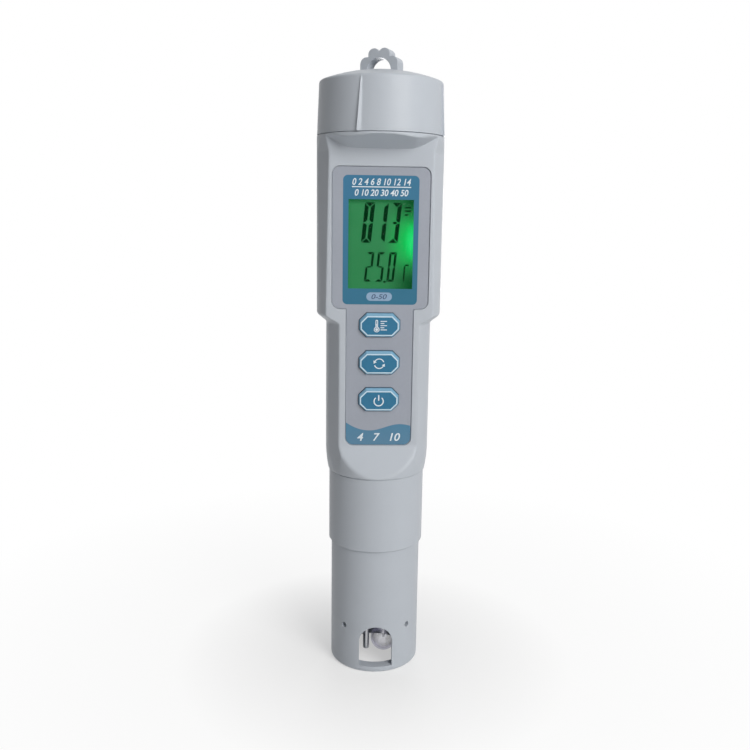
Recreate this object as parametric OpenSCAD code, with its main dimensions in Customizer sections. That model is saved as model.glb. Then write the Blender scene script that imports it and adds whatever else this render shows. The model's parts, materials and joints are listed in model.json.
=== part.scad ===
// Pen-type water tester with a screw cap, a lit display, three keys and a guarded sensor tip.
// The axis of the pen is Z, its tip stands at z = 0 and its display faces -Y.

/* [Sensor end] */
// Length of the open guard around the sensor tip
guard_len = 41; // [36:0.5:50]
// Outer radius of the guard
guard_r = 14.2; // [13.6:0.1:14.6]
// Bore radius of the guard
guard_bore_r = 11; // [10.4:0.1:11.4]
// Width of the arched window in the guard
arch_w = 10.5; // [8:0.5:11]
// Height of the arched window's crown above the tip
arch_top = 15.6; // [14:0.1:18]
// Height of the ring that closes the guard below the window
guard_ring_h = 2; // [1:0.1:3]
// Radius of the small vent holes around the guard
vent_r = 0.9; // [0.6:0.1:1.4]
// Length of the round sleeve above the guard
sleeve_len = 23.5; // [20:0.5:28]
// Outer radius of the sleeve
sleeve_r = 15; // [14.7:0.1:15.6]
// Radius of the sleeve's spigot inside the housing
spigot_r = 11.5; // [11:0.1:11.8]
// Length of the spigot
spigot_len = 4; // [3:0.1:4.4]
// Radius of the glass bulb
bulb_r = 4.2; // [3.5:0.1:4.6]
// Radius of the glass stem above the bulb
stem_r = 3; // [2.4:0.1:3.3]
// Wall of the glass
glass_wall = 0.5; // [0.3:0.1:0.8]
// Clear height below the bulb
bulb_clear = 2.6; // [2.5:0.1:4]

/* [Housing] */
// Length of the lower half, from the shoulder to the lower seam
lower_len = 49.4; // [46:0.1:60]
// Radius of the upper half, around the display
upper_r = 19; // [18.6:0.1:20]
// Radius of the lower half, around the keys
lower_r = 16.1; // [15.6:0.1:16.8]
// Radius at the lower seam
tail_r = 15.3; // [15:0.1:15.6]
// Height over which the lower end draws in
tail_h = 8; // [6:0.5:10]
// Length of the upper half, from the cap to the shoulder
upper_len = 52.6; // [48:0.1:58]
// Height of the sloped shoulder
shoulder_h = 2.3; // [2:0.1:4]
// Wall of the housing tube
wall = 2; // [1.6:0.1:2.3]
// Distance of the flat front from the axis
front_y = 10; // [9.5:0.1:10.6]
// Thickness of the front wall
front_wall = 1.8; // [1.5:0.1:2.2]
// Drop from the cap seam to the middle of the ledge under the collar
ledge_drop = 3.9; // [3.5:0.1:5.5]
// Lip left between the ledge and the cap seam
ledge_lip = 0.5; // [0.3:0.1:1]
// Lip left between the lower ramp and the lower seam
tail_lip = 0.4; // [0.2:0.1:1]
// Half width of the ledge's straight middle
ledge_half = 10; // [8:0.5:12]
// Slope of the ledge's rising ends, in degrees
ledge_turn = 28; // [20:1:40]

/* [Label and window] */
// Drop from the cap seam to the top of the label
label_drop = 9.2; // [8.5:0.1:9.8]
// Width of the label beside the display
label_w = 28.4; // [27:0.1:29]
// Gap between the label's wide part and the shoulder
label_step = 2.4; // [2:0.1:3]
// Width of the label beside the keys
label_narrow_w = 19.8; // [18:0.1:22]
// Distance from the lower seam to the label's lower end
label_tail = 9.8; // [9:0.1:12]
// Depth of the label's face below the front of the housing
label_sink = 0.25; // [0.1:0.05:0.4]
// Thickness of the label
label_t = 0.3; // [0.2:0.05:0.5]
// Radius of the label's corners
label_corner = 2.2; // [1:0.1:3]
// Width of the display window
window_w = 19.1; // [17:0.1:19.4]
// Distance from the window to the lower end of the label's wide part
window_foot = 5.9; // [5:0.05:8]
// Drop from the label's top to the window
window_drop = 9.15; // [8.5:0.05:10.5]
// Thickness of the clear window
lens_t = 0.7; // [0.5:0.05:0.8]

/* [Keys] */
// Width of a key
key_w = 12.2; // [10:0.1:13]
// Height of a key
key_h = 7.2; // [6:0.1:8]
// Corner cut of the eight-sided keys
key_chamfer = 2.2; // [1:0.1:2.8]
// Distance between keys
key_pitch = 11.4; // [11:0.1:12]
// Drop from the label's wide part to the middle of the first key
key_drop = 4.9; // [4.8:0.1:6]
// Height of a key above the front face
key_proud = 0.9; // [0.7:0.1:1.4]
// Travel of a key
key_travel = 0.5; // [0.3:0.05:0.6]

/* [Cap] */
// Radius of the cap at its lower rim
cap_r_low = 18.95; // [18.6:0.05:19.2]
// Radius of the cap at its top edge
cap_r_top = 18.3; // [18:0.1:19]
// Height of the cap's wall
cap_h = 15.2; // [14.6:0.1:16.4]
// Height of the dome
dome_h = 3.4; // [2.5:0.1:4.5]
// Height of the wedge-shaped grips at the lower rim
grip_h = 0.8; // [0.4:0.1:1.2]
// Width of a grip at the lower rim
grip_w = 1.3; // [1:0.1:3]
// Number of grips around the cap
grip_count = 4; // [2:1:8]
// Direction of the first grip, from the front
grip_dir = -19; // [-45:1:45]
// Radius of the lanyard hole
loop_hole_r = 3.5; // [2.5:0.1:4]
// Width of the loop's band
loop_band = 2.1; // [1.8:0.1:2.4]
// Radius of the four lobes on the loop's outside
lobe_r = 2; // [1.8:0.1:2.2]
// Depth of the loop from front to back
loop_t = 4; // [3:0.1:5]
// Turn of the loop from the front
loop_dir = -25; // [-60:1:60]

/* [Neck and thread] */
// Radius of the threaded neck
neck_r = 15.6; // [15.3:0.1:15.7]
// Height of the neck above the cap seam
neck_h = 11; // [10.7:0.1:11.3]
// Bore of the neck
neck_bore_r = 12.4; // [12:0.1:12.8]
// Rise of the thread for one turn
thread_pitch = 2.5; // [2.2:0.1:2.8]
// Height of the thread's ridges
thread_h = 0.7; // [0.5:0.05:0.75]
// Radial gap between a ridge and the wall it faces
thread_gap = 0.42; // [0.38:0.02:0.5]

/* [Cells] */
// Radius of a button cell
cell_r = 5.8; // [5.6:0.1:6]
// Thickness of a button cell
cell_h = 5.4; // [5:0.1:5.5]
// Number of stacked cells
cell_count = 4; // [3:1:4]

/* [Hidden] */
$fn = 64;

// Clearances
slip = 0.1;
running = 0.05;
seam = 0.1;
over = 1;
far = 100;

// Levels along the pen
z_seal = guard_len + sleeve_len;
z_cap = z_seal + lower_len + upper_len;
z_shoulder = z_cap - upper_len;
z_shoulder_low = z_shoulder - shoulder_h;
z_neck_top = z_cap + neck_h;
z_label = z_cap - label_drop;
z_label_low = z_seal + label_tail;
label_h = z_label - z_label_low;
label_wide_h = upper_len - label_drop - label_step;
window_h = label_wide_h - window_drop - window_foot;
z_window = z_label - window_drop - window_h / 2;
z_ledge = z_cap - ledge_drop;
flat_margin = 0.5;
z_flat_low = z_label_low - flat_margin;
z_cap_low = z_cap + seam;
z_cap_top = z_cap_low + cap_h;
z_dome = z_cap_top + dome_h;

// Depths from the front face back to the board
y_face = -front_y;
y_print = y_face + label_sink;
y_label = y_print + label_t;
y_inner = y_face + front_wall;
board_gap = 6.6;
board_t = 1.6;
y_board = y_inner + board_gap;
y_board_back = y_board + board_t;

// Joint between housing and sleeve, and between sleeve and guard
spigot_wall = 1.8;
tail_bore_r = spigot_r + slip;
cone_drop = 2;
cone_rise = 1.5;
ring_wire = 0.7;
groove_h = 1.7;
neck_groove_rise = 0.4;
tail_groove_rise = 1.2;
collar_len = 5;
collar_wall = 1.4;
collar_r = guard_bore_r + collar_wall;

// Cap interior
thread_bore_r = neck_r + thread_h + thread_gap;
roof_gap = 1.7;
z_roof = z_neck_top + roof_gap;
disc_t = 0.4;
disc_inset = 1.4;
disc_rim = 0.2;
leg_w = 2;
disc_r = neck_bore_r - disc_inset;
z_disc = z_roof - running - disc_t;
rivet_r = 1.2;
rivet_len = 3;
rivet_head_r = 2;
rivet_head_t = 0.4;

// Cell stack and its holder
contact_t = 0.3;
cell_top_drop = 0.6;
cell_slip = 0.15;
cell_gap = 0.02;
cell_rim = 0.4;
cell_step = 1;
contact_inset = 0.2;
holder_wall = 2.2;
holder_floor = 1.4;
flange_t = 1.5;
flange_lap = 1;
flange_r = neck_bore_r + flange_lap;
z_flange = z_neck_top - contact_t;
z_cells_top = z_neck_top - cell_top_drop;
z_cells = z_cells_top - cell_count * cell_h;
z_well = z_cells - contact_t;
z_holder = z_well - holder_floor;
well_r = cell_r + cell_slip;
holder_r = well_r + holder_wall;
tail_w = 3;
board_top_gap = 1.6;
z_board_top = z_holder - board_top_gap - contact_t;
lead_x = 4;
lead_r = 0.6;

// Display stack
lcd_margin = 1.3;
lcd_side = 0.3;
lcd_t = 2;
frame_wall = 0.4;
lcd_w = window_w + 2 * lcd_side;
lcd_h = window_h + 2 * lcd_margin;
frame_w = lcd_w + 2 * (slip + frame_wall);
frame_h = lcd_h + 2 * (slip + frame_wall);
y_lcd = y_inner + slip;
y_lcd_back = y_lcd + lcd_t;
strip_h = 2.2;
lens_lip = 0.8;
light_inset = 0.5;

// Circuit board
board_clear = 3;
z_board = z_seal + spigot_len + board_clear;
z_board_step = z_shoulder + wall;
board_edge = 0.3;
post_r = 1.5;
pilot_r = 0.7;
pilot_floor = 0.4;
screw_gap = 0.05;
screw_head_r = 1.5;
screw_head_t = 1;
screw_len = 6;
upper_post_x = frame_w / 2 + slip + post_r;
lower_post_rise = 4.7;
z_lower_post = z_label_low + lower_post_rise;
board_upper_w = 2 * (upper_post_x + post_r + board_edge);
chip_w = 10;
chip_t = 1.2;
chip_cut = 1;

// Keys and switches
key_slip = 0.25;
key_flange = 1;
key_flange_t = 1;
lower_post_x = key_w / 2 + key_flange + slip + post_r;
board_lower_w = 2 * (lower_post_x + post_r + board_edge);
key_boss_len = 0.7;
key_boss_r = 2.2;
switch_w = 6;
switch_t = 3.5;
stem_sink = 0.7;
switch_stem_r = 1.7;
y_stem = y_inner + key_flange_t + key_boss_len;
y_switch = y_board - switch_t;
z_keys = [for (i = [0 : 2]) z_label - label_wide_h - key_drop - i * key_pitch];

// Sensor plug
face_rise = 1;
z_face = arch_top + face_rise;
base_rise = 4;
z_base_top = guard_len + base_rise;
base_r = guard_bore_r - slip;
stem_pos = [3, -3.5];
stem_len = 14;
z_bulb = bulb_clear + bulb_r;
pin_r = 1;
pin_len = 12;
pin_pos = [[-2.8, -6.6], [-6.2, -3.4]];
pin_sink = 8;
probe_r = 1.6;
probe_len = 9;
probe_pos = [-4.2, 3.6];
junction_r = 1.3;
junction_pos = [1, 7.4];
junction_proud = 0.4;
junction_depth = 6;
stopper_h = 4;
silver_r = 0.4;
vent_drop = 1;
header_w = 10;
header_h = 4;
header_t = 3;
lead_count = 4;
lead_pitch = 2;
lead_wire_r = 0.5;
header_rise = 3;
z_header = z_board + header_rise;

// Grips and loop of the cap
grip_sink = 0.3;
grip_tip = 0.5;
grip_end = 0.6;
lobe_low_dir = 18;
lobe_low_out = 1;
lobe_low = loop_hole_r + lobe_low_out;
lobe_high_dir = 67.5;
lobe_high_out = 1.4;
lobe_high = loop_hole_r + lobe_high_out;

// Thread ridges
ridge_root = 1.2;
ridge_crest = 0.6;
ridge_sink = 0.3;
thread_step = 10;
thread_rise = 3.6;
z_neck_thread = z_cap + thread_rise;
neck_turns = 2;
z_cap_thread = z_neck_thread - thread_pitch / 2;
cap_turns = 2;

// Battery spring
spring_wire = 0.3;
spring_turns = 2.5;
spring_r_low = 2.4;
spring_r_high = 4.6;
spring_sides = 8;
spring_step = 20;

// A rectangle centred on the origin with true round corners
module rounded_rect(w, h, r) {
    square([w - 2 * r, h], center = true);
    square([w, h - 2 * r], center = true);
    for (x = [-1, 1], y = [-1, 1])
        translate([x * (w / 2 - r), y * (h / 2 - r)])
            circle(r);
}

// A rectangle with its corners cut, as the keys have
module octagon(w, h, c) {
    polygon([
        [-w / 2 + c, -h / 2], [w / 2 - c, -h / 2], [w / 2, -h / 2 + c], [w / 2, h / 2 - c],
        [w / 2 - c, h / 2], [-w / 2 + c, h / 2], [-w / 2, h / 2 - c], [-w / 2, -h / 2 + c]
    ]);
}

// Turns a drawing of X across and Z up into a plate from y0 back to y1
module plate(y0, y1) {
    translate([0, y1, 0])
        rotate([90, 0, 0])
            linear_extrude(y1 - y0)
                children();
}

// A rod along Y
module rod_y(r, y0, y1, x, z) {
    translate([x, y1, z])
        rotate([90, 0, 0])
            cylinder(r = r, h = y1 - y0);
}

// A drawing of Y across and Z up, drawn out along X
module across(w) {
    rotate([90, 0, 90])
        linear_extrude(w, center = true)
            children();
}

// Tube wall swept along a path: ring after ring of points, closed at both ends
module swept(rings) {
    n = len(rings[0]);
    m = len(rings);
    sides = [
        for (i = [0 : m - 2], j = [0 : n - 1])
            let (k = (j + 1) % n)
            each [
                [i * n + j, i * n + k, (i + 1) * n + k],
                [i * n + j, (i + 1) * n + k, (i + 1) * n + j]
            ]
    ];
    ends = [[for (j = [n - 1 : -1 : 0]) j], [for (j = [0 : n - 1]) (m - 1) * n + j]];
    polyhedron([for (ring = rings) each ring], concat(sides, ends));
}

// A helical ridge whose crest points outward (dir = 1) or inward (dir = -1) from radius r
module thread_ridge(r, z, turns, dir) {
    root = r - dir * ridge_sink;
    crest = r + dir * thread_h;
    profile = [
        [root, -ridge_root / 2], [crest, -ridge_crest / 2],
        [crest, ridge_crest / 2], [root, ridge_root / 2]
    ];
    ordered = dir > 0 ? profile : [for (i = [3 : -1 : 0]) profile[i]];
    swept([
        for (a = [0 : thread_step : 360 * turns])
            [for (p = ordered) [p[0] * cos(a), p[0] * sin(a), z + p[1] + thread_pitch * a / 360]]
    ]);
}

// Outline of the label, with its top at the label's level
module label_outline(gap) {
    translate([0, z_label - label_wide_h / 2])
        rounded_rect(label_w + 2 * gap, label_wide_h + 2 * gap, label_corner + gap);
    translate([0, (z_label + z_label_low) / 2])
        rounded_rect(label_narrow_w + 2 * gap, label_h + 2 * gap, label_corner + gap);
}

module key_openings(gap) {
    for (z = z_keys)
        translate([0, z])
            octagon(key_w + 2 * gap, key_h + 2 * gap, key_chamfer);
}

module window_opening(gap) {
    translate([0, z_window])
        square([window_w + 2 * gap, window_h + 2 * gap], center = true);
}

// Tongue of the collar that slopes down to the flat front, with rising ends
module ledge_tongue() {
    rise = ledge_drop - ledge_lip;
    run = upper_r - front_y;
    tall = ledge_drop + upper_r;
    wide = ledge_half + tall / tan(ledge_turn);
    translate([0, y_face, z_ledge])
        rotate([90 - atan(rise / run), 0, 0])
            translate([0, 0, -upper_r])
                linear_extrude(3 * upper_r)
                    polygon([[-ledge_half, 0], [ledge_half, 0], [wide, tall], [-wide, tall]]);
}

// Everything that is taken off to leave the flat front
module front_cut() {
    reach = 2 * upper_r;
    ramp = (z_flat_low - z_seal - tail_lip) / (tail_r - front_y);
    difference() {
        across(far)
            polygon([
                [y_face, z_flat_low], [y_face - reach, z_flat_low - ramp * reach],
                [y_face - reach, z_cap - ledge_lip], [y_face, z_cap - ledge_lip]
            ]);
        ledge_tongue();
    }
}

module housing_outer() {
    difference() {
        rotate_extrude()
            polygon([
                [0, z_seal], [tail_r, z_seal],
                [(tail_r + 2 * lower_r) / 3, z_seal + tail_h / 3], [lower_r, z_seal + tail_h],
                [lower_r, z_shoulder_low], [upper_r, z_shoulder], [upper_r, z_cap], [0, z_cap]
            ]);
        front_cut();
    }
    translate([0, 0, z_cap])
        cylinder(r = neck_r, h = neck_h);
}

module housing_cavity() {
    intersection() {
        rotate_extrude()
            polygon([
                [0, z_seal - over], [tail_bore_r, z_seal - over], [tail_bore_r, z_seal + spigot_len + slip],
                [lower_r - wall, z_seal + spigot_len + board_clear], [lower_r - wall, z_shoulder_low],
                [upper_r - wall, z_shoulder], [upper_r - wall, z_ledge - wall - cone_drop],
                [neck_bore_r, z_ledge - wall + cone_rise], [neck_bore_r, z_cap + over], [0, z_cap + over]
            ]);
        translate([-far, y_inner, 0])
            cube([2 * far, far, 3 * far]);
    }
    translate([0, 0, z_cap])
        cylinder(r = neck_bore_r, h = neck_h + over);
    translate([0, 0, z_flange - flange_t])
        cylinder(r = flange_r + slip, h = neck_h);
    // The sleeve's spigot needs the full round bore, also in front of the flat wall
    translate([0, 0, z_seal - over])
        cylinder(r = tail_bore_r, h = spigot_len + over + slip);
}

module screw_posts() {
    rod_posts(post_r, y_inner - running, y_board);
}

module rod_posts(r, y0, y1) {
    for (side = [-1, 1]) {
        rod_y(r, y0, y1, side * upper_post_x, z_window);
        rod_y(r, y0, y1, side * lower_post_x, z_lower_post);
    }
}

module housing() {
    color("lightsteelblue")
        difference() {
            union() {
                difference() {
                    housing_outer();
                    housing_cavity();
                    plate(y_face - over, y_label)
                        label_outline(slip);
                    plate(y_face - over, y_inner + over)
                        key_openings(key_slip);
                    plate(y_face - over, y_label + lens_t)
                        window_opening(lens_lip + slip);
                    plate(y_face - over, y_inner + over)
                        window_opening(0);
                    translate([0, 0, z_cap + neck_groove_rise])
                        difference() {
                            cylinder(r = neck_r + over, h = groove_h);
                            translate([0, 0, -over])
                                cylinder(r = neck_r - ring_wire, h = groove_h + 2 * over);
                        }
                }
                screw_posts();
                thread_ridge(neck_r, z_neck_thread, neck_turns, 1);
            }
            rod_posts(pilot_r + screw_gap, y_inner + pilot_floor, y_board + over);
        }
}

// One wedge-shaped grip: a wall on its left, a slope on its right, drawn to a point at the top
module grip() {
    foot = grip_w * grip_sink / grip_h;
    z_tip = z_cap_top - grip_end;
    tip_r = cap_r_top + (cap_r_low - cap_r_top) * grip_end / cap_h - running;
    polyhedron(
        [
            [-grip_w, grip_sink - cap_r_low, z_cap_low], [-grip_w, -cap_r_low - grip_h, z_cap_low],
            [foot, grip_sink - cap_r_low, z_cap_low], [-grip_tip, -tip_r, z_tip]
        ],
        [[0, 2, 1], [0, 1, 3], [1, 2, 3], [2, 0, 3]]
    );
}

module cap_outside() {
    dome_r = (cap_r_top * cap_r_top + dome_h * dome_h) / (2 * dome_h);
    tall = cap_h + dome_h;
    intersection() {
        translate([0, 0, z_cap_low])
            cylinder(r1 = cap_r_low, r2 = cap_r_low - (cap_r_low - cap_r_top) * tall / cap_h, h = tall);
        translate([0, 0, z_dome - dome_r])
            sphere(r = dome_r, $fn = 128);
    }
    for (i = [0 : grip_count - 1])
        rotate([0, 0, grip_dir + i * 360 / grip_count])
            grip();
}

// Right half of the loop's lobes: one above, one at the side that runs down into the dome
module loop_lobes() {
    low_x = lobe_low * cos(lobe_low_dir);
    low_z = lobe_low * sin(lobe_low_dir);
    rotate(lobe_high_dir)
        translate([lobe_high, 0])
            circle(lobe_r);
    translate([low_x, low_z])
        circle(lobe_r);
    translate([low_x - lobe_r, -dome_h])
        square([2 * lobe_r, dome_h + low_z]);
}

module loop() {
    rotate([0, 0, loop_dir])
        translate([0, 0, z_dome])
            difference() {
                plate(-loop_t / 2, loop_t / 2) {
                    circle(loop_hole_r + loop_band);
                    loop_lobes();
                    mirror([1, 0])
                        loop_lobes();
                }
                plate(-loop_t, loop_t)
                    circle(loop_hole_r);
                translate([-far / 2, -far / 2, -far - dome_h / 4])
                    cube(far);
            }
}

module battery_cap() {
    color("silver") {
        difference() {
            union() {
                cap_outside();
                loop();
            }
            translate([0, 0, z_cap_low - over])
                cylinder(r = thread_bore_r, h = z_roof - z_cap_low + over);
            cylinder(r = rivet_r + running, h = z_roof + rivet_len + slip);
        }
        thread_ridge(thread_bore_r, z_cap_thread, cap_turns, -1);
    }
}

module cap_seal_ring() {
    color("dimgray")
        translate([0, 0, z_cap + neck_groove_rise + groove_h / 2])
            rotate_extrude()
                translate([neck_r + running, 0])
                    circle(ring_wire);
}

module battery_holder() {
    color("whitesmoke")
        difference() {
            union() {
                translate([0, 0, z_holder])
                    cylinder(r = holder_r, h = z_flange - z_holder);
                translate([0, 0, z_flange - flange_t])
                    cylinder(r = flange_r, h = flange_t);
            }
            translate([0, 0, z_well])
                cylinder(r = well_r, h = far);
            translate([lead_x, y_board + board_t / 2, z_holder - over])
                cylinder(r = lead_r + running, h = holder_floor + 2 * over);
            translate([-tail_w / 2 - slip, holder_r + slip, z_holder])
                cube([tail_w + 2 * slip, contact_t + 2 * slip, far]);
        }
}

module button_cells() {
    color("gainsboro")
        for (i = [0 : cell_count - 1])
            translate([0, 0, z_cells + i * cell_h]) {
                cylinder(r = cell_r, h = cell_h - cell_rim);
                cylinder(r = cell_r - cell_step, h = cell_h - cell_gap);
            }
}

module base_contact() {
    color("goldenrod") {
        translate([0, 0, z_well])
            cylinder(r = cell_r - contact_inset, h = contact_t);
        translate([lead_x, y_board + board_t / 2, z_board_top])
            cylinder(r = lead_r, h = z_well + contact_t / 2 - z_board_top);
    }
}

module neck_contact() {
    y_tail = holder_r + 2 * slip;
    color("goldenrod") {
        difference() {
            union() {
                translate([0, 0, z_flange])
                    cylinder(r = flange_r - 2 * contact_inset, h = contact_t);
                translate([-tail_w / 2, y_tail, z_board_top])
                    cube([tail_w, contact_t, z_flange + contact_t - z_board_top]);
            }
            cylinder(r = y_tail, h = far * 3, $fn = 128);
        }
        translate([-tail_w / 2, y_board, z_board_top])
            cube([tail_w, y_tail + contact_t - y_board, contact_t]);
    }
}

module contact_disc() {
    color("goldenrod") {
        difference() {
            translate([0, 0, z_disc])
                cylinder(r = disc_r, h = disc_t);
            cylinder(r = rivet_r + running, h = 3 * far);
        }
        for (a = [90 : 120 : 330])
            rotate([0, 0, a])
                translate([disc_r - disc_t - disc_rim, -leg_w / 2, z_neck_top + running])
                    cube([disc_t, leg_w, z_disc + disc_t - z_neck_top - running]);
    }
}

module contact_rivet() {
    color("goldenrod") {
        translate([0, 0, z_disc])
            cylinder(r = rivet_r, h = disc_t + running + rivet_len);
        translate([0, 0, z_disc - rivet_head_t])
            cylinder(r = rivet_head_r, h = rivet_head_t);
    }
}

module battery_spring() {
    z0 = z_cells_top + running + spring_wire;
    z1 = z_disc - running - spring_wire;
    span = 360 * spring_turns;
    color("silver")
        swept([
            for (a = [0 : spring_step : span])
                let (r = spring_r_low + (spring_r_high - spring_r_low) * a / span)
                [
                    for (s = [0 : spring_sides - 1])
                        let (b = 360 * s / spring_sides, q = r + spring_wire * cos(b))
                        [q * cos(a), q * sin(a), z0 + (z1 - z0) * a / span - spring_wire * sin(b)]
                ]
        ]);
}

module circuit_board() {
    color("seagreen")
        difference() {
            plate(y_board, y_board_back) {
                translate([-board_lower_w / 2, z_board])
                    square([board_lower_w, z_board_top - z_board]);
                translate([-board_upper_w / 2, z_board_step])
                    square([board_upper_w, z_board_top - z_board_step]);
            }
            rod_posts(pilot_r + screw_gap, y_board - over, y_board_back + over);
        }
}

module board_screws() {
    color("silver") {
        rod_posts(pilot_r, y_board_back - screw_len, y_board_back);
        rod_posts(screw_head_r, y_board_back, y_board_back + screw_head_t);
    }
}

module controller_chip() {
    color("dimgray")
        plate(y_board_back, y_board_back + chip_t)
            translate([0, z_window])
                octagon(chip_w, chip_w, chip_cut);
}

module lcd_cell() {
    color("darkseagreen")
        plate(y_lcd, y_lcd_back)
            translate([0, z_window])
                square([lcd_w, lcd_h], center = true);
}

module lcd_backlight() {
    color("palegreen")
        plate(y_lcd_back, y_board)
            translate([0, z_window])
                square([lcd_w - 2 * light_inset, lcd_h - 2 * (strip_h + light_inset)], center = true);
}

module lcd_frame() {
    color("white")
        plate(y_inner, y_board)
            translate([0, z_window])
                difference() {
                    square([frame_w, frame_h], center = true);
                    square([lcd_w + 2 * slip, lcd_h + 2 * slip], center = true);
                }
}

module zebra_strips() {
    color("dimgray")
        for (side = [-1, 1])
            plate(y_lcd_back, y_board)
                translate([0, z_window + side * (lcd_h - strip_h) / 2])
                    square([lcd_w - 2 * light_inset, strip_h], center = true);
}

module window_lens() {
    color("white", 0.4)
        plate(y_label, y_label + lens_t)
            window_opening(lens_lip);
}

module label_panel() {
    color("steelblue")
        plate(y_print, y_label)
            difference() {
                label_outline(0);
                window_opening(0);
                key_openings(key_slip);
            }
}

module key_cap(i) {
    color("teal") {
        plate(y_face - key_proud, y_inner + key_flange_t)
            translate([0, z_keys[i]])
                octagon(key_w, key_h, key_chamfer);
        plate(y_inner, y_inner + key_flange_t)
            translate([0, z_keys[i]])
                octagon(key_w + 2 * key_flange, key_h + 2 * key_flange, key_chamfer);
        rod_y(key_boss_r, y_inner + key_flange_t - running, y_stem, 0, z_keys[i]);
    }
}

module key_unit() {
    key_cap(0);
}

module key_mode() {
    key_cap(1);
}

module key_power() {
    key_cap(2);
}

module switch_bodies() {
    color("dimgray")
        for (z = z_keys)
            difference() {
                plate(y_switch, y_board)
                    translate([0, z])
                        square(switch_w, center = true);
                rod_y(switch_stem_r + running, y_switch - over,
                      y_switch + stem_sink + key_travel + slip, 0, z);
            }
}

module switch_stem(i) {
    color("black")
        rod_y(switch_stem_r, y_stem, y_switch + stem_sink, 0, z_keys[i]);
}

module switch_stem_unit() {
    switch_stem(0);
}

module switch_stem_mode() {
    switch_stem(1);
}

module switch_stem_power() {
    switch_stem(2);
}

module sensor_header() {
    color("white")
        translate([-header_w / 2, y_board_back, z_header])
            cube([header_w, header_t, header_h]);
}

module sensor_leads() {
    color("firebrick")
        for (i = [0 : lead_count - 1])
            translate([(i - (lead_count - 1) / 2) * lead_pitch, y_board_back + header_t / 2, z_base_top])
                cylinder(r = lead_wire_r, h = z_header - z_base_top);
}

module sensor_sleeve() {
    color("lightgray")
        difference() {
            union() {
                translate([0, 0, guard_len])
                    cylinder(r = sleeve_r, h = sleeve_len);
                translate([0, 0, guard_len])
                    cylinder(r = spigot_r, h = sleeve_len + spigot_len);
            }
            translate([0, 0, guard_len - over])
                cylinder(r = spigot_r - spigot_wall, h = far);
            translate([0, 0, guard_len - over])
                cylinder(r = collar_r + slip, h = collar_len + over + slip);
            translate([0, 0, z_seal + tail_groove_rise])
                difference() {
                    cylinder(r = sleeve_r, h = groove_h);
                    translate([0, 0, -over])
                        cylinder(r = spigot_r - ring_wire, h = groove_h + 2 * over);
                }
        }
}

module sleeve_seal_ring() {
    wire = ring_wire / 2;
    color("dimgray")
        translate([0, 0, z_seal + tail_groove_rise + groove_h / 2])
            rotate_extrude()
                translate([spigot_r - wire + running / 2, 0])
                    circle(wire);
}

module electrode_guard() {
    color("silver")
        difference() {
            union() {
                cylinder(r = guard_r, h = guard_len);
                translate([0, 0, guard_len - over])
                    cylinder(r = collar_r, h = collar_len + over);
            }
            translate([0, 0, -over])
                cylinder(r = guard_bore_r, h = far);
            plate(-far, 0) {
                translate([-arch_w / 2, guard_ring_h])
                    square([arch_w, arch_top - arch_w / 2 - guard_ring_h]);
                intersection() {
                    translate([0, arch_top - arch_w / 2])
                        circle(arch_w / 2);
                    translate([-arch_w / 2, guard_ring_h])
                        square([arch_w, arch_top]);
                }
            }
            for (a = [45 : 90 : 315])
                translate([0, 0, arch_top - vent_drop])
                    rotate([0, 90, a])
                        cylinder(r = vent_r, h = far);
        }
}

// Space that a rod takes in the plug, from its face up
module base_hole(pos, r, depth) {
    translate([pos[0], pos[1], z_face - over])
        cylinder(r = r, h = depth + over);
}

module sensor_base() {
    color("dimgray")
        difference() {
            translate([0, 0, z_face])
                cylinder(r = base_r, h = z_base_top - z_face);
            base_hole(stem_pos, stem_r + running, stem_len + running);
            for (p = pin_pos)
                base_hole(p, pin_r + running, pin_sink + running);
            base_hole(probe_pos, probe_r + running, pin_sink + running);
            base_hole(junction_pos, junction_r + running, junction_depth + running);
        }
}

module ph_electrode() {
    color("white", 0.4)
        translate([stem_pos[0], stem_pos[1], 0])
            difference() {
                union() {
                    translate([0, 0, z_bulb])
                        sphere(bulb_r);
                    translate([0, 0, z_bulb])
                        cylinder(r = stem_r, h = z_face + stem_len - z_bulb);
                }
                translate([0, 0, z_bulb])
                    sphere(bulb_r - glass_wall);
                translate([0, 0, z_bulb])
                    cylinder(r = stem_r - glass_wall, h = far);
            }
}

module ph_wire() {
    color("silver")
        translate([stem_pos[0], stem_pos[1], 0]) {
            translate([0, 0, z_bulb])
                cylinder(r = silver_r, h = z_face + stem_len - z_bulb);
            translate([0, 0, z_face + stem_len - stopper_h])
                cylinder(r = stem_r - glass_wall - running, h = stopper_h);
        }
}

module reference_junction() {
    color("white")
        translate([junction_pos[0], junction_pos[1], z_face - junction_proud])
            cylinder(r = junction_r, h = junction_depth + junction_proud);
}

module ec_pins() {
    color("gray")
        for (p = pin_pos)
            translate([p[0], p[1], z_face - pin_len])
                cylinder(r = pin_r, h = pin_len + pin_sink);
}

module temperature_probe() {
    color("silver")
        translate([probe_pos[0], probe_pos[1], z_face - probe_len + probe_r]) {
            cylinder(r = probe_r, h = probe_len - probe_r + pin_sink);
            sphere(probe_r);
        }
}

housing();
battery_cap();
cap_seal_ring();
battery_holder();
button_cells();
base_contact();
neck_contact();
contact_disc();
contact_rivet();
battery_spring();
circuit_board();
board_screws();
controller_chip();
lcd_cell();
lcd_backlight();
lcd_frame();
zebra_strips();
window_lens();
label_panel();
key_unit();
key_mode();
key_power();
switch_bodies();
switch_stem_unit();
switch_stem_mode();
switch_stem_power();
sensor_header();
sensor_leads();
sensor_sleeve();
sleeve_seal_ring();
electrode_guard();
sensor_base();
ph_electrode();
ph_wire();
reference_junction();
ec_pins();
temperature_probe();
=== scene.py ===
"""Looks of the pen-type water tester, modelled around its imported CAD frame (millimetres in, metres out)."""

import json
import math

import bpy
import numpy as np
from mathutils import Matrix, Vector


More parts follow.
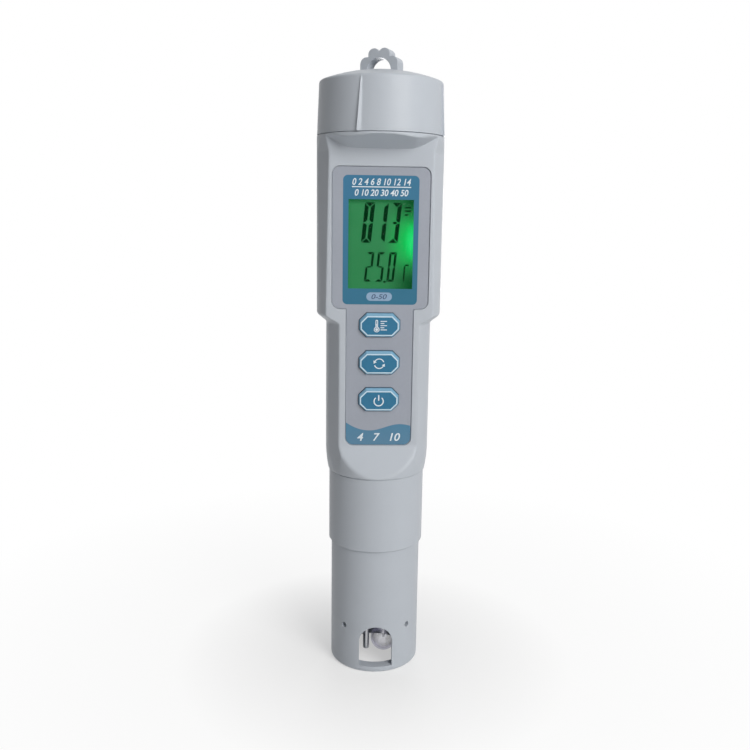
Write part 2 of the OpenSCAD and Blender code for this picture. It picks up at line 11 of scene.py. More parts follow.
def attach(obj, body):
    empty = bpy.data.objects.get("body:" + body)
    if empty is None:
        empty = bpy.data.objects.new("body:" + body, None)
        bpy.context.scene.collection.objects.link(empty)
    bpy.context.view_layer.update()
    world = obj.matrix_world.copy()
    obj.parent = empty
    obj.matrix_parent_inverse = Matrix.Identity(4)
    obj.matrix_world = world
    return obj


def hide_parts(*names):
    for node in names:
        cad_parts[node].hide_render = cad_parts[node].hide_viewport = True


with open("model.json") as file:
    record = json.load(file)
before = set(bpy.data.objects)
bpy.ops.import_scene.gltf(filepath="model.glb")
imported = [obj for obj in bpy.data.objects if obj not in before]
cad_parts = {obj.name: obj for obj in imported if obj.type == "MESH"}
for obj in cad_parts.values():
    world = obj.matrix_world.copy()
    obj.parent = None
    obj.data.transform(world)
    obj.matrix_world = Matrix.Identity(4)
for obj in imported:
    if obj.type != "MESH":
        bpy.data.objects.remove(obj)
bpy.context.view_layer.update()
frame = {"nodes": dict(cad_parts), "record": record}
MM = 0.001

# Housing: seams, radii and levels along the pen
SEAM_LOW, SEAM_CAP = 64.5, 166.5
TAIL_R, LOWER_R, UPPER_R = 15.3, 16.1, 19.0
TAIL_TOP, TAIL_DRAW = 72.5, 8
SHOULDER_LOW, SHOULDER_HIGH = 111.6, 113.9
RIM_EASE = 0.35
TAIL_BORE, LOWER_BORE, UPPER_BORE, NECK_BORE = 11.6, 14.1, 17.0, 12.4
TAIL_STEP, TAIL_FUNNEL, CAVITY_TOP, THROAT = 68.6, 71.5, 158.5, 162.0
NECK_R, NECK_TOP = 15.6, 177.5
GROOVE_R, GROOVE_LOW, GROOVE_TOP = 14.9, 166.9, 168.6
SEAT_R, SEAT_Z = 13.5, 175.7
THREAD_PITCH, THREAD_FOOT, THREAD_TIP, THREAD_TURNS = 2.5, 0.6, 0.3, 2
NECK_THREAD_Z, CAP_THREAD_Z = 170.1, 168.85

# Flat front: depths of its layers, the ramp at its lower end and the collar's tongue above it
FACE, PRINT, POCKET, INNER = -10.0, -9.75, -9.45, -8.2
RAMP_TOP, RAMP_SLOPE = 73.8, 1.679
TONGUE_TIP, TONGUE_RUN, TONGUE_RISE, TONGUE_SLANT = 162.6, 9, 3.4, 9.62
TONGUE_HALF_W, TONGUE_CURL, TONGUE_EASE = 10.3, 0.532, 1.5
TONGUE_LIP, TONGUE_LIP_W, TONGUE_LIP_FADE = 0.3, 10.5, 2.5
# Bevel along the front's side edges: its depth at some levels, and the direction it faces below and above
BEVEL_LEVELS = [66, 74, SHOULDER_LOW, SHOULDER_HIGH, 160, 161.5, 165.5]
BEVEL_DEPTHS = [0, 0.5, 0.5, 0.05, 0.8, 0.8, 0]
BEVEL_FACES = [56, 62]

# Label, window and keys on the front
LABEL_TOP, LABEL_STEP, LABEL_LOW = 157.3, 116.3, 74.3
LABEL_WIDE, LABEL_NARROW, LABEL_CORNER, LABEL_NOTCH = 14.2, 9.9, 2.2, 0.4
WINDOW_W, WINDOW_LOW, WINDOW_TOP, WINDOW_T = 19.1, 122.2, 148.15, 0.7
KEY_W, KEY_H, KEY_CUT = 12.2, 7.2, 2.2
KEY_FRONT, KEY_SLOPE, KEY_RIM, KEY_BROW = -10.9, 0.65, 0.4, 0.85
KEY_SLACK = (KEY_BROW - KEY_RIM) / 2
KEY_LOW, KEY_PITCH = 88.6, 11.4
KEY_ROWS = {"key_unit": KEY_LOW + 2 * KEY_PITCH, "key_mode": KEY_LOW + KEY_PITCH, "key_power": KEY_LOW}
# Blue panel and pill on the label: middle, half width, half height, corner radius
PANEL = (-0.06, 136.25, 11.09, 18.75, 1.4)
PILL = (-0.25, 119.85, 3.8, 1.25, 1.2)
# Wave on the label's foot: its lowest point, how it climbs to the left and swings to the right
WAVE_X, WAVE_LOW, WAVE_FALL, WAVE_SWING = -2.65, 78.8, 0.0475, 0.336
# Lamp at the display's right edge and its bright core: middle, half width, half height
DISPLAY_LAMP = (9.8, 136.2, 4.8, 6.6)
DISPLAY_CORE = (9.2, 136.0, 1.3, 3.6)
# Digits of the display: foot, width and height between the bars' middles, bar
TALL_DIGITS = {"low": 136.2, "w": 1.78, "h": 10.5, "t": 1.2}
SMALL_DIGITS = {"low": 124.5, "w": 1.5, "h": 8.05, "t": 0.7}

# Battery cap: wall, bore, dome, grips and lanyard loop
CAP_LOW, CAP_TOP, CAP_DOME, CAP_BEND = 166.6, 181.8, 185.2, 50.95
CAP_R_LOW, CAP_R_TOP, CAP_EDGE = 18.95, 18.3, 0.9
CAP_BORE, CAP_ROOF, RIVET_R, RIVET_TOP = 16.72, 179.2, 1.25, 182.3
GRIP_COUNT, GRIP_TURN, GRIP_R = 4, -19, 18.9
GRIP_WIDE, GRIP_NARROW, GRIP_LEAN, GRIP_OUT_LOW, GRIP_OUT_TOP = 1.25, 0.5, 0.05, 0.8, 0.3
LOOP_TURN, LOOP_Z, LOOP_FOOT = math.radians(-25), 184.9, 183.9
LOOP_HOLE, LOOP_BAND, LOOP_T = 3.75, 1.55, 4.5
# Lobes of the loop: distance of the middle from the hole's centre, direction, radius
LOBES = [(4.5, math.radians(27.5), 1.95), (4.85, math.radians(70.5), 1.8)]

# Sensor end: guard with its window and vents, sleeve, glass bulb, pins and probe
GUARD_R, GUARD_BORE, GUARD_TOP, SPIGOT_R, SPIGOT_TOP = 14.2, 11, 41, 12.4, 46
ARCH_HALF_W, ARCH_LOW, ARCH_SPRING = 5.25, 2, 10.35
VENT_R, VENT_Z = 0.9, 14.6
SLEEVE_R, SLEEVE_BORE, SLEEVE_PLUG, SLEEVE_TOP = 15, 9.7, 11.5, 68.5
RING_R, RING_LOW, RING_TOP = 10.8, 65.7, 67.4
BULB_AT, BULB_R, BULB_Z, BULB_WALL = (3, -3.5), 4.2, 6.8, 0.5
STEM_R, STEM_LOW, STEM_TOP = 3.0, 10.5, 30.6
PIN_R, PIN_LOW, PIN_PLACES = 1.0, 4.6, ((-2.8, -6.6), (-6.2, -3.4))
PROBE_AT, PROBE_R, PROBE_Z = (-4.2, 3.6), 1.6, 9.2
RODS_TOP = 24.6


# Modelling by hand: selecting, editing, finishing

def only(piece):
    bpy.ops.object.select_all(action="DESELECT")
    piece.select_set(True)
    bpy.context.view_layer.objects.active = piece


def named(name):
    piece = bpy.context.object
    piece.name = name
    piece.data.name = name
    return piece


def edit(piece, *steps):
    """Runs edit-mode steps on a piece with all of it selected."""
    only(piece)
    bpy.ops.object.mode_set(mode="EDIT")
    bpy.ops.mesh.select_all(action="SELECT")
    for step in steps:
        step()
    bpy.ops.object.mode_set(mode="OBJECT")


def weld(gap=2e-6):
    bpy.ops.mesh.remove_doubles(threshold=gap)


def outward():
    bpy.ops.mesh.normals_make_consistent(inside=False)


def modify(piece, kind, **settings):
    only(piece)
    modifier = piece.modifiers.new(kind.title(), kind)
    for key, value in settings.items():
        setattr(modifier, key, value)
    bpy.ops.object.modifier_apply(modifier=modifier.name)


def cut(piece, tool, operation="DIFFERENCE"):
    modify(piece, "BOOLEAN", object=tool, operation=operation, solver="EXACT")
    bpy.data.objects.remove(tool)


def soften(piece, width, segments, angle=35):
    modify(piece, "BEVEL", width=width * MM, segments=segments, limit_method="ANGLE",
           angle_limit=math.radians(angle), use_clamp_overlap=True)


def smooth(piece, angle=32):
    only(piece)
    bpy.ops.object.shade_smooth_by_angle(angle=math.radians(angle))


def joined(name, pieces):
    only(pieces[0])
    for piece in pieces:
        piece.select_set(True)
    if len(pieces) > 1:
        bpy.ops.object.join()
    return named(name)


def set_points(piece, points):
    flat = np.asarray(points, float).reshape(-1) * MM
    piece.data.vertices.foreach_set("co", flat.astype(np.float32))
    piece.data.update()


def arc(cx, cz, radius, angles):
    """Points of an arc at the given angles, in radians from the right."""
    return [(cx + radius * math.cos(a), cz + radius * math.sin(a)) for a in angles]


def rounded(corners, steps=6):
    """Outline of a polygon whose corners (x, z, radius) are rounded."""
    outline = []
    count = len(corners)
    for i, (x, z, r) in enumerate(corners):
        here = Vector((x, z))
        to_last = (Vector(corners[i - 1][:2]) - here).normalized()
        to_next = (Vector(corners[(i + 1) % count][:2]) - here).normalized()
        if r <= 0:
            outline.append((x, z))
            continue
        half = to_last.angle(to_next) / 2
        start = here + to_last * (r / math.tan(half))
        end = here + to_next * (r / math.tan(half))
        centre = here + (to_last + to_next).normalized() * (r / math.sin(half))
        a0 = math.atan2(*(start - centre).yx)
        a1 = math.atan2(*(end - centre).yx)
        turn = (a1 - a0 + math.pi) % (2 * math.pi) - math.pi
        outline += arc(centre.x, centre.y, r, [a0 + turn * k / steps for k in range(steps + 1)])
    return outline


def slab(name, outline, y0, y1, back=None):
    """A flat piece: a filled circle drawn into an outline at depth y0 and extruded back to y1."""
    bpy.ops.mesh.primitive_circle_add(vertices=len(outline), radius=1, fill_type="NGON")
    piece = named(name)
    front = [(x, y0, z) for x, z in outline]
    set_points(piece, front)
    edit(piece, lambda: bpy.ops.mesh.extrude_region_move(
        TRANSFORM_OT_translate={"value": (0, (y1 - y0) * MM, 0)}))
    if back:
        set_points(piece, front + [(x, y1, z) for x, z in back])
    edit(piece, outward)
    return piece


def turned(name, outline, steps=128, centre=(0, 0)):
    """A turned piece: a closed outline of (radius, height) spun round an upright axis."""
    bpy.ops.mesh.primitive_circle_add(vertices=len(outline), radius=1, fill_type="NOTHING")
    piece = named(name)
    cx, cy = centre
    set_points(piece, [(cx + r, cy, z) for r, z in outline])
    edit(piece, lambda: bpy.ops.mesh.spin(steps=steps, angle=2 * math.pi, center=(cx * MM, cy * MM, 0),
                                          axis=(0, 0, 1)))
    edit(piece, weld, bpy.ops.mesh.delete_loose)
    edit(piece, outward)
    return piece


def rolled(name, sheet, closed=True):
    """A grid of rows x columns x 3 points rolled round the axis; closed joins its last row to its first."""
    points = np.concatenate([sheet, sheet[:1]], 0) if closed else sheet
    points = np.concatenate([points, points[:, :1]], 1)
    rows, columns = points.shape[:2]
    bpy.ops.mesh.primitive_grid_add(x_subdivisions=columns - 1, y_subdivisions=rows - 1, size=1)
    skin = named(name)
    set_points(skin, points)
    edit(skin, weld, outward)
    return skin


def ring_row(angles, radius, height):
    radius = np.broadcast_to(radius, angles.shape)
    height = np.broadcast_to(height, angles.shape)
    return np.stack([radius * np.sin(angles), -radius * np.cos(angles), height], -1)


def smin(a, b, k):
    """The smaller of two values, eased over a width of k where they meet."""
    h = np.maximum(k - np.abs(a - b), 0) / k
    return np.minimum(a, b) - h * h * k / 4


def smax(a, b, k):
    return -smin(-a, -b, k)


def thread(name, root, crest, start):
    """A thread ridge: a small trapezium wound up by a Screw modifier, with closed ends."""
    bpy.ops.mesh.primitive_circle_add(vertices=4, radius=1, fill_type="NOTHING")
    piece = named(name)
    set_points(piece, [(root, 0, start - THREAD_FOOT), (crest, 0, start - THREAD_TIP),
                       (crest, 0, start + THREAD_TIP), (root, 0, start + THREAD_FOOT)])
    modify(piece, "SCREW", axis="Z", angle=2 * math.pi, screw_offset=THREAD_PITCH * MM,
           iterations=THREAD_TURNS, steps=72, render_steps=72, use_merge_vertices=False)
    edit(piece, weld, lambda: bpy.ops.mesh.fill_holes(sides=4), outward)
    return piece


# Finishes: shader sums are written as expressions

class Shade:
    """A socket in a material's node tree; sums on it add Math nodes."""

    def __init__(self, tree, socket=None):
        self.tree = tree
        self.socket = socket

    def node(self, kind, links, out=0, **settings):
        """Adds any node: its settings first, then each socket's value or link; gives one output."""
        made = self.tree.nodes.new("ShaderNode" + kind)
        for key, value in settings.items():
            setattr(made, key, value)
        for key, value in links.items():
            if isinstance(value, Shade):
                self.tree.links.new(value.socket, made.inputs[key])
            else:
                made.inputs[key].default_value = value
        return Shade(self.tree, made.outputs[out]) if len(made.outputs) else None

    def calc(self, operation, *values, clamp=False):
        return self.node("Math", dict(enumerate(values)), operation=operation, use_clamp=clamp)

    def __add__(self, other):
        return self.calc("ADD", self, other)

    def __sub__(self, other):
        return self.calc("SUBTRACT", self, other)

    def __rsub__(self, other):
        return self.calc("SUBTRACT", other, self)

    def __mul__(self, other):
        return self.calc("MULTIPLY", self, other)

    def __truediv__(self, other):
        return self.calc("DIVIDE", self, other)

    def __mod__(self, other):
        return self.calc("MODULO", self, other)

    def __pow__(self, other):
        return self.calc("POWER", self, other)

    def __abs__(self):
        return self.calc("ABSOLUTE", self)

    __radd__ = __add__
    __rmul__ = __mul__

    def least(self, other):
        return self.calc("MINIMUM", self, other)

    def most(self, other):
        return self.calc("MAXIMUM", self, other)

    def clamped(self):
        return self.calc("ADD", self, 0, clamp=True)

    def inside(self, soft=0.06):
        """1 where a signed distance in millimetres is below zero, with a soft edge."""
        return self.calc("MULTIPLY_ADD", self, -1 / soft, 0.5, clamp=True)

    def mix(self, one, two):
        """A colour between two others, by this value."""
        return self.node("Mix", {0: self, 6: one, 7: two}, out=2, data_type="RGBA")

    def noise(self, scale, detail=2.0, rough=0.5):
        return self.node("TexNoise", {"Vector": self, "Scale": scale, "Detail": detail, "Roughness": rough})

    def axis(self, letter):
        """One coordinate of a place, in millimetres."""
        return self.node("SeparateXYZ", {0: self}, out=letter) * 1000

    def stretched(self, x, y, z):
        return self.node("Mapping", {"Vector": self, "Scale": (x, y, z)})

    def bump(self, strength, depth):
        return self.node("Bump", {"Height": self, "Strength": strength, "Distance": depth * MM})

    def slant(self):
        """0 where a surface faces the eye, 1 at its edges."""
        return self.node("LayerWeight", {"Blend": 0.5}, out="Facing")


def srgb(r, g, b):
    linear = [c / 255 / 12.92 if c <= 10 else ((c / 255 + 0.055) / 1.055) ** 2.4 for c in (r, g, b)]
    return (*linear, 1.0)


def finish(name, paint):
    """A material whose paint function gives the value or link of each shader socket."""
    material = bpy.data.materials.new(name)
    material.use_nodes = True
    tree = material.node_tree
    shader = tree.nodes["Principled BSDF"]
    place = Shade(tree).node("TexCoord", {}, out="Object")
    for key, value in paint(place).items():
        if isinstance(value, Shade):
            tree.links.new(value.socket, shader.inputs[key])
        else:
            shader.inputs[key].default_value = value
    return material


def box_distance(x, z, cx, cz, half_w, half_h, r):
    """Signed distance to a rounded rectangle on the front face."""
    qx = abs(x - cx) - (half_w - r)
    qz = abs(z - cz) - (half_h - r)
    away = (qx.most(0) ** 2 + qz.most(0) ** 2) ** 0.5
    return away + qx.most(qz).least(0) - r


def oval_distance(x, z, cx, cz, half_w, half_h):
    """Distance from an oval's middle on the front face: 1 on its outline."""
    return (((x - cx) / half_w) ** 2 + ((z - cz) / half_h) ** 2) ** 0.5


def moulded(light, dark, gloss=0.42, grain=0.1):
    """Satin moulded plastic: clouded tone, fine spark-eroded grain, handling marks in the gloss."""
    def paint(place):
        cloud = place.noise(45, 3, 0.55)
        fine = place.noise(2200, 2, 0.6)
        marks = place.stretched(1, 1, 0.35).noise(160, 3, 0.6)
        tone = (cloud * 0.7 + fine * 0.3).clamped()
        return {"Base Color": tone.mix(dark, light),
                "Roughness": (cloud * 0.08 + marks * 0.12 + (gloss - 0.1)).clamped(),
                "Normal": (fine + place.noise(900, 2) * 0.6).bump(grain, 0.03),
                "Specular IOR Level": 0.32}
    return paint


def metal(light, dark, gloss, lay=(1, 1, 0.04), scale=1500):
    """Drawn or plated metal with fine lines along one direction."""
    def paint(place):
        lines = place.stretched(*lay).noise(scale, 3, 0.6)
        cloud = place.noise(120, 2)
        return {"Base Color": (lines * 0.5 + cloud * 0.5).mix(dark, light),
                "Metallic": 1.0,
                "Roughness": (lines * 0.15 + cloud * 0.1 + (gloss - 0.12)).clamped(),
                "Normal": lines.bump(0.08, 0.02)}
    return paint


def rubber(place):
    fine = place.noise(1500, 2)
    return {"Base Color": fine.mix(srgb(22, 22, 24), srgb(38, 38, 41)),
            "Roughness": fine * 0.1 + 0.62,
            "Normal": fine.bump(0.1, 0.03),
            "Specular IOR Level": 0.35}


def label_film(place):
    """Printed overlay: grey film, a blue panel with a pill round the display, a blue wave at the foot."""
    x, z = place.axis("X"), place.axis("Z")
    weave = place.noise(1300, 2, 0.5)
    cloud = place.noise(40, 2)
    panel = box_distance(x, z, *PANEL).inside()
    pill = box_distance(x, z, *PILL).inside()
    along = x - WAVE_X
    left = along.least(0) ** 2 * WAVE_FALL
    right = 1 - along.calc("COSINE", along.most(0) * WAVE_SWING)
    wave = (z - (left + right + WAVE_LOW)).inside()
    grey = (cloud * 0.6 + weave * 0.4).mix(srgb(149, 154, 165), srgb(163, 168, 179))
    blue = ((z - 117) * 0.02 - x * 0.015).clamped().mix(srgb(38, 106, 134), srgb(52, 114, 150))
    low_blue = ((z - 74) * 0.14).clamped().mix(srgb(84, 127, 155), srgb(74, 126, 156))
    colour = panel.mix(grey, blue)
    colour = pill.mix(colour, srgb(141, 167, 193))
    colour = wave.mix(colour, low_blue)
    coated = panel.most(wave)
    return {"Base Color": colour,
            "Roughness": (weave * 0.08 + cloud * 0.08 + 0.3 - coated * 0.06).clamped(),
            "Normal": (weave * 0.5 + coated * 0.5).bump(0.08, 0.03),
            "Specular IOR Level": 0.45}


def key_skin(place):
    """Coloured key: pale line round a darker face; rim lighter, partly paler plastic, partly painted
    highlight; sides in painted shade.
    """
    x, z = abs(place.axis("X")), place.axis("Z")
    half_w, half_h = KEY_W / 2 - KEY_RIM, KEY_H / 2 - KEY_RIM - KEY_SLACK
    # Heights are taken from the middle of the nearest key's face, counting pitches from below the part
    start = KEY_LOW - KEY_SLACK - 10.5 * KEY_PITCH
    up = abs((z - start) % KEY_PITCH - KEY_PITCH / 2)
    corner = half_w + half_h - KEY_CUT + KEY_RIM * (2 - math.sqrt(2))
    edge = (x - half_w).most(up - half_h).most((x + up - corner) * math.sqrt(0.5))
    fine = place.noise(1400, 2)
    face = fine.mix(srgb(26, 102, 138), srgb(36, 114, 150))
    # Lighter rim: partly the rim's paler plastic, partly a painted highlight on its bevel
    rim = fine.mix(srgb(104, 152, 182), srgb(118, 166, 194))
    # Darker sides: painted shade round the key
    side = fine.mix(srgb(40, 98, 130), srgb(50, 110, 142))
    in_front = (place.axis("Y") - (KEY_FRONT + 0.7)).inside(0.08)
    colour = (edge + 0.36).inside(0.08).mix(srgb(200, 222, 234), face)
    colour = edge.inside(0.08).mix(in_front.mix(side, rim), colour)
    return {"Base Color": colour,
            "Roughness": fine * 0.1 + 0.3,
            "Normal": fine.bump(0.08, 0.03),
            "Specular IOR Level": 0.5}


def lit_display(place):
    """Green lit display: even glow, brighter round the lamp at its right edge, darker corners, and a painted
    shadow of the window's frame along its top and left.
    """
    x, z = place.axis("X"), place.axis("Z")
    cloud = place.noise(160, 2)
    glow = (1.2 - oval_distance(x, z, *DISPLAY_LAMP) * 0.6).clamped() ** 1.5
    hot = (1.25 - oval_distance(x, z, *DISPLAY_CORE) * 0.7).clamped() ** 1.4
    corner = ((x - 2.0) * 0.15).clamped() * ((abs(z - 136.0) - 4.5) * 0.14).clamped()
    # Painted shadow of the window's frame along the display's top and left edges
    top_frame_painted_shadow = ((z - 146.6) * 0.75).clamped()
    left_frame_painted_shadow = ((-8.4 - x) * 0.5).clamped() * 0.6
    colour = (cloud * 0.5 + (z - 122) * 0.012).clamped().mix(srgb(47, 125, 74), srgb(56, 139, 86))
    colour = glow.mix(colour, srgb(6, 204, 86))
    colour = hot.mix(colour, srgb(36, 226, 116))
    colour = corner.most(top_frame_painted_shadow.most(left_frame_painted_shadow) * 0.7).mix(colour, srgb(12, 80, 38))
    return {"Base Color": srgb(4, 16, 8),
            "Emission Color": colour,
            "Emission Strength": 0.95,
            "Roughness": cloud * 0.05 + 0.3,
            "Specular IOR Level": 0.0}


def display_bar(place):
    """A dark bar of the display, with a little of the green light coming through."""
    cloud = place.noise(300, 2)
    return {"Base Color": srgb(1, 4, 2),
            "Emission Color": cloud.mix(srgb(1, 40, 16), srgb(4, 56, 26)),
            "Emission Strength": 0.8,
            "Roughness": cloud * 0.1 + 0.5,
            "Specular IOR Level": 0.0}


def ink(dark, light, gloss=0.4):
    def paint(place):
        fine = place.noise(1800, 2)
        return {"Base Color": fine.mix(dark, light), "Roughness": fine * 0.1 + gloss}
    return paint


def pane(place):
    """Clear window plastic: see-through, with the gloss of its surface and a faint film on it."""
    film = place.noise(90, 3)
    return {"Base Color": (0.94, 0.97, 0.96, 1),
            "Metallic": 1.0,
            "Roughness": film * 0.06 + 0.06,
            "Alpha": (place.slant() ** 4 * 0.3 + 0.002).clamped()}


def bulb_glass(place):
    """Thin, faintly tinted sensor glass: see-through face on, glossier towards its edges."""
    film = place.noise(140, 3)
    slant = place.slant()
    return {"Base Color": slant.mix(srgb(234, 234, 247), srgb(178, 173, 214)),
            "Metallic": 1.0,
            "Roughness": film * 0.06 + 0.04,
            "Alpha": (slant ** 2 * 0.65 + film * 0.05 + 0.08).clamped()}


# The housing

def tongue_radius(angles, z):
    """How far out the collar's sloped tongue reaches at one height, found by halving."""
    near, far = np.zeros(angles.shape), np.full(angles.shape, 25.0)
    rise = (z - TONGUE_TIP) * TONGUE_RUN
    for _ in range(40):
        mid = (near + far) / 2
        x, y = mid * np.sin(angles), -mid * np.cos(angles)
        over = np.abs(x) - TONGUE_HALF_W
        edge = TONGUE_CURL * (over + np.sqrt(over * over + TONGUE_EASE)) / 2
        lip = TONGUE_LIP * np.clip((TONGUE_LIP_W - np.abs(x)) / TONGUE_LIP_FADE, 0, 1)
        over_slope = (y - FACE + lip) * TONGUE_RISE + rise >= edge * TONGUE_SLANT
        over_tip = rise >= (edge - 0.1) * TONGUE_SLANT
        solid = over_slope & over_tip
        near, far = np.where(solid, mid, near), np.where(solid, far, mid)
    return near


def tube_radius(z):
    """Round outline of the housing: drawn-in tail, lower half, shoulder, upper half, eased rims."""
    lean = LOWER_R + (z - SHOULDER_LOW) * (UPPER_R - LOWER_R) / (SHOULDER_HIGH - SHOULDER_LOW)
    tube = smin(smax(LOWER_R, lean, 0.7), UPPER_R, 0.7)
    tube -= (LOWER_R - TAIL_R) * (max(TAIL_TOP - z, 0) / TAIL_DRAW) ** 2
    edge = min(z - SEAM_LOW, SEAM_CAP - z, RIM_EASE)
    return tube - (RIM_EASE - math.sqrt(RIM_EASE ** 2 - (RIM_EASE - edge) ** 2))


def flat_radius(distance, angles):
    """Radius at which a flat wall is met, by the angles from its normal; large where it is never met."""
    return distance / np.maximum(np.cos(angles), 0.05)


def housing_radius(angles, z):
    flat = flat_radius(-FACE, angles)
    ramp = flat_radius(-FACE + (RAMP_TOP - z) / RAMP_SLOPE, angles)
    front = smax(smax(flat, ramp, 0.7), tongue_radius(angles, z), 0.2)
    tube = tube_radius(z)
    depth = np.interp(z, BEVEL_LEVELS, BEVEL_DEPTHS)
    facing = np.radians(np.interp(z, [SHOULDER_LOW, SHOULDER_HIGH], BEVEL_FACES))
    bevel = flat_radius(tube - depth, np.abs(angles) - facing)
    return smin(smin(tube, bevel, 0.15 * depth + 0.001), front, 0.55)


def spread(*runs):
    """Values from runs of (start, step), each up to the next start; the last run is an end."""
    values = []
    for (start, step), (end, _) in zip(runs, runs[1:]):
        values.extend(np.linspace(start, end, max(1, round((end - start) / step)), endpoint=False))
    return np.array(values + [runs[-1][0]])


def label_outline(gap):
    wide, narrow, r = LABEL_WIDE + gap, LABEL_NARROW + gap, LABEL_CORNER + gap
    top, step, low = LABEL_TOP + gap, LABEL_STEP - gap, LABEL_LOW - gap
    return rounded([(wide, top, r), (-wide, top, r), (-wide, step, r), (-narrow, step, LABEL_NOTCH),
                    (-narrow, low, r), (narrow, low, r), (narrow, step, LABEL_NOTCH), (wide, step, r)], 8)


def octagon(z, gap=0.0):
    w, h, c = KEY_W / 2 + gap, KEY_H / 2 + gap, KEY_CUT
    return [(-w + c, z - h), (w - c, z - h), (w, z - h + c), (w, z + h - c), (w - c, z + h), (-w + c, z + h),
            (-w, z + h - c), (-w, z - h + c)]


def box(x0, z0, x1, z1):
    return [(x0, z0), (x1, z0), (x1, z1), (x0, z1)]


def window(gap):
    half = WINDOW_W / 2 + gap
    return box(-half, WINDOW_LOW - gap, half, WINDOW_TOP + gap)


def openings(name, window_gap, key_gap, y0, y1):
    """A tool that cuts the openings of the window and the keys."""
    tools = [slab(name, window(window_gap), y0, y1)]
    tools += [slab(name, octagon(z, key_gap), y0, y1) for z in KEY_ROWS.values()]
    return joined(name, tools)


def housing_shell():
    half = spread((0, 2), (42, 0.5), (66, 2), (90, 3), (180, 3))
    angles = np.radians(np.concatenate([-half[:0:-1], half[:-1]]))
    heights = spread((SEAM_LOW, 0.05), (SEAM_LOW + 0.2, 0.15), (SEAM_LOW + 1.1, 0.4), (RAMP_TOP + 1.2, 2.2),
                     (SHOULDER_LOW - 1.6, 0.2), (SHOULDER_HIGH + 1.5, 2.2), (TONGUE_TIP - 2.6, 0.2),
                     (TONGUE_TIP - 0.4, 0.06), (TONGUE_TIP + 0.4, 0.15), (SEAM_CAP - 0.4, 0.06),
                     (SEAM_CAP, 1))
    rows = [ring_row(angles, housing_radius(angles, z), z) for z in heights]
    neck = [(NECK_R + 0.3, SEAM_CAP), (NECK_R, SEAM_CAP + 0.1), (NECK_R, GROOVE_LOW), (GROOVE_R, GROOVE_LOW),
            (GROOVE_R, GROOVE_TOP), (NECK_R, GROOVE_TOP), (NECK_R, NECK_TOP - 0.35),
            (NECK_R - 0.1, NECK_TOP - 0.1), (NECK_R - 0.35, NECK_TOP), (SEAT_R + 0.2, NECK_TOP),
            (SEAT_R, NECK_TOP - 0.2), (SEAT_R, SEAT_Z), (NECK_BORE, SEAT_Z), (NECK_BORE, SEAM_CAP)]
    rows += [ring_row(angles, r, z) for r, z in neck]
    cavity = [(NECK_BORE, SEAM_CAP), (NECK_BORE, THROAT), (UPPER_BORE, CAVITY_TOP),
              (UPPER_BORE, SHOULDER_HIGH), (LOWER_BORE, SHOULDER_LOW), (LOWER_BORE, TAIL_FUNNEL)]
    inner_flat = flat_radius(-INNER, angles)
    rows += [ring_row(angles, np.minimum(r, inner_flat), z) for r, z in cavity]
    tail = [(TAIL_BORE, TAIL_STEP), (TAIL_BORE, SEAM_LOW + 0.3), (TAIL_BORE + 0.2, SEAM_LOW)]
    rows += [ring_row(angles, r, z) for r, z in tail]
    shell = rolled("housing_shell", np.array(rows))
    cut(shell, slab("pocket_tool", label_outline(0.55), FACE - 0.65, POCKET, back=label_outline(0.1)))
    cut(shell, slab("lens_tool", window(0.9), FACE - 1, POCKET + WINDOW_T))
    cut(shell, openings("opening_tool", 0.5, 0.25, FACE - 2, INNER + 1.5))
    return joined("housing_shell", [shell, thread("neck_thread", NECK_R - 0.3, NECK_R + 0.7, NECK_THREAD_Z)])


# The battery cap with its grips and lanyard loop

def clamp(value):
    return min(max(value, 0), 1)


def grip_columns(z):
    """Angles round one quarter of the cap and the rise at each: a grip with a steep and a gentle side."""
    t = clamp((z - CAP_LOW) / (CAP_TOP - 0.6 - CAP_LOW))
    left, right = -GRIP_WIDE + (GRIP_WIDE - GRIP_NARROW) * t, -GRIP_LEAN * t
    lift = GRIP_OUT_LOW + (GRIP_OUT_TOP - GRIP_OUT_LOW) * t
    lift *= clamp((CAP_TOP - 0.3 - z) / 0.9)
    ridge = [(left - 0.6, 0), (left - 0.16, 0), (left - 0.03, 0.03), (left, 0.8), (left + 0.05, 0.96)]
    ridge += [(left + (right - left) * f, 1 - f) for f in (0.12, 0.3, 0.5, 0.7, 0.85)]
    ridge += [(right + 0.02, 0.02), (right + 0.3, 0)]
    turns = [x / GRIP_R for x, _ in ridge]
    plain = np.linspace(turns[-1], 2 * math.pi / GRIP_COUNT + turns[0], 32)[1:-1]
    rise = [lift * h for _, h in ridge] + [0] * len(plain)
    return np.array(turns + list(plain)), np.array(rise)


